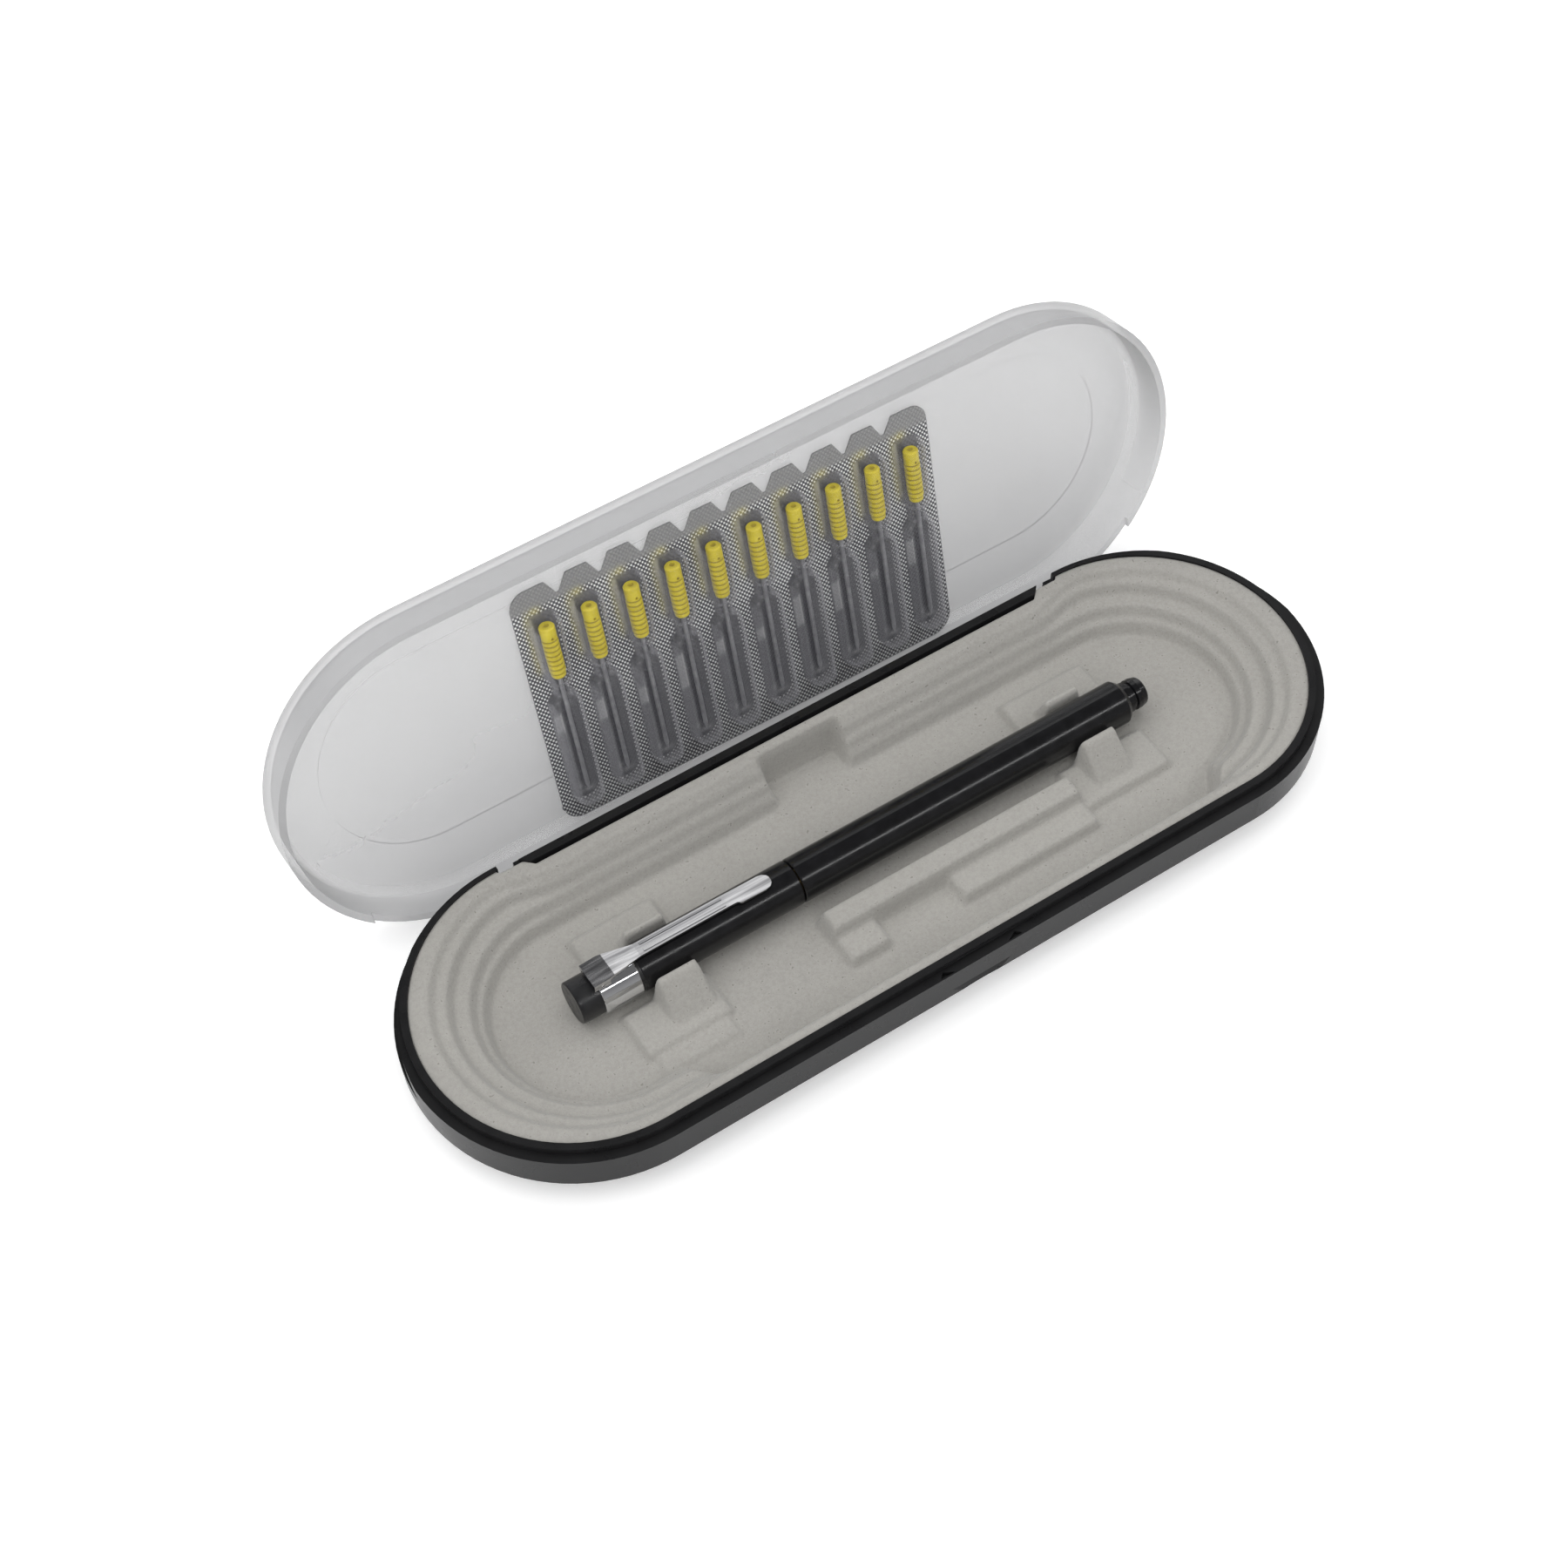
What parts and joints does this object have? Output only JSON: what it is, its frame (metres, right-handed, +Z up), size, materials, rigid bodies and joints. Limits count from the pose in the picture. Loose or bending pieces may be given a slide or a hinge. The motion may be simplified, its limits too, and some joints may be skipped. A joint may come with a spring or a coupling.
{
  "type": "interchangeable needle set",
  "caption": "Pen-type needle holder lying in a flocked stadium case, with a blister strip of ribbed-hub needles standing inside the open clear lid.",
  "frame": {"origin": "centre of the flat underside of the case, on the table", "axes": "+X along the case towards the nose of the holder, +Y towards the hinge and the open lid, +Z up"},
  "size_m": [0.186, 0.0862, 0.0651],
  "materials": {
    "case_black": "gloss",
    "liner_flock": "flocked matt",
    "lid_clear": "clear gloss",
    "blister_clear": "clear gloss",
    "foil": "embossed satin foil",
    "hub_yellow": "satin",
    "needle_steel": "bright",
    "pen_black": "gloss lacquer",
    "plug_black": "satin",
    "collar_black": "satin",
    "chrome": "polished",
    "nose_black": "gloss",
    "sleeve_brass": "machined"
  },
  "bodies": {
    "case": {"base_shell": "case_black", "tray_liner": "liner_flock"},
    "lid": {"lid_shell": "lid_clear"},
    "strip": {"blister_sheet": "blister_clear", "foil_backing": "foil", "needle_hub_01": "hub_yellow", "needle_hub_02": "hub_yellow", "needle_hub_03": "hub_yellow", "needle_hub_04": "hub_yellow", "needle_hub_05": "hub_yellow", "needle_hub_06": "hub_yellow", "needle_hub_07": "hub_yellow", "needle_hub_08": "hub_yellow", "needle_hub_09": "hub_yellow", "needle_hub_10": "hub_yellow", "needle_01": "needle_steel", "needle_02": "needle_steel", "needle_03": "needle_steel", "needle_04": "needle_steel", "needle_05": "needle_steel", "needle_06": "needle_steel", "needle_07": "needle_steel", "needle_08": "needle_steel", "needle_09": "needle_steel", "needle_10": "needle_steel"},
    "holder_rear": {"barrel_rear": "pen_black", "end_plug": "plug_black", "clip_band": "chrome", "collar_ring": "collar_black", "joint_sleeve": "sleeve_brass"},
    "holder_front": {"barrel_front": "pen_black", "nose_socket": "nose_black"},
    "clip": {"clip_arm": "chrome"}
  },
  "joints": [
    {"name": "lid_hinge", "type": "hinge", "parent": "case", "child": "lid", "pos_m": [0, 0.02738, 0.00818], "axis": [1, 0, 0], "range_deg": [0, 102]},
    {"name": "card_lift", "type": "slide", "parent": "lid", "child": "strip", "axis": [0, -0.2079, -0.9781], "range_m": [-0.006, 0]},
    {"name": "pen_lift", "type": "slide", "parent": "case", "child": "holder_rear", "axis": [0, 0, -1], "range_m": [-0.04, 0]},
    {"name": "barrel_unscrew", "type": "hinge", "parent": "holder_rear", "child": "holder_front", "pos_m": [-0.0175, 0.00055, 0.01115], "axis": [1, 0, 0], "continuous": true},
    {"name": "clip_flex", "type": "hinge", "parent": "holder_rear", "child": "clip", "pos_m": [-0.0572, 0.00078, 0.01559], "axis": [0, 0.9986, -0.0523], "range_deg": [-3, 0], "stiffness_Nm_per_rad": 0.02, "springref_deg": 1.15}
  ]
}
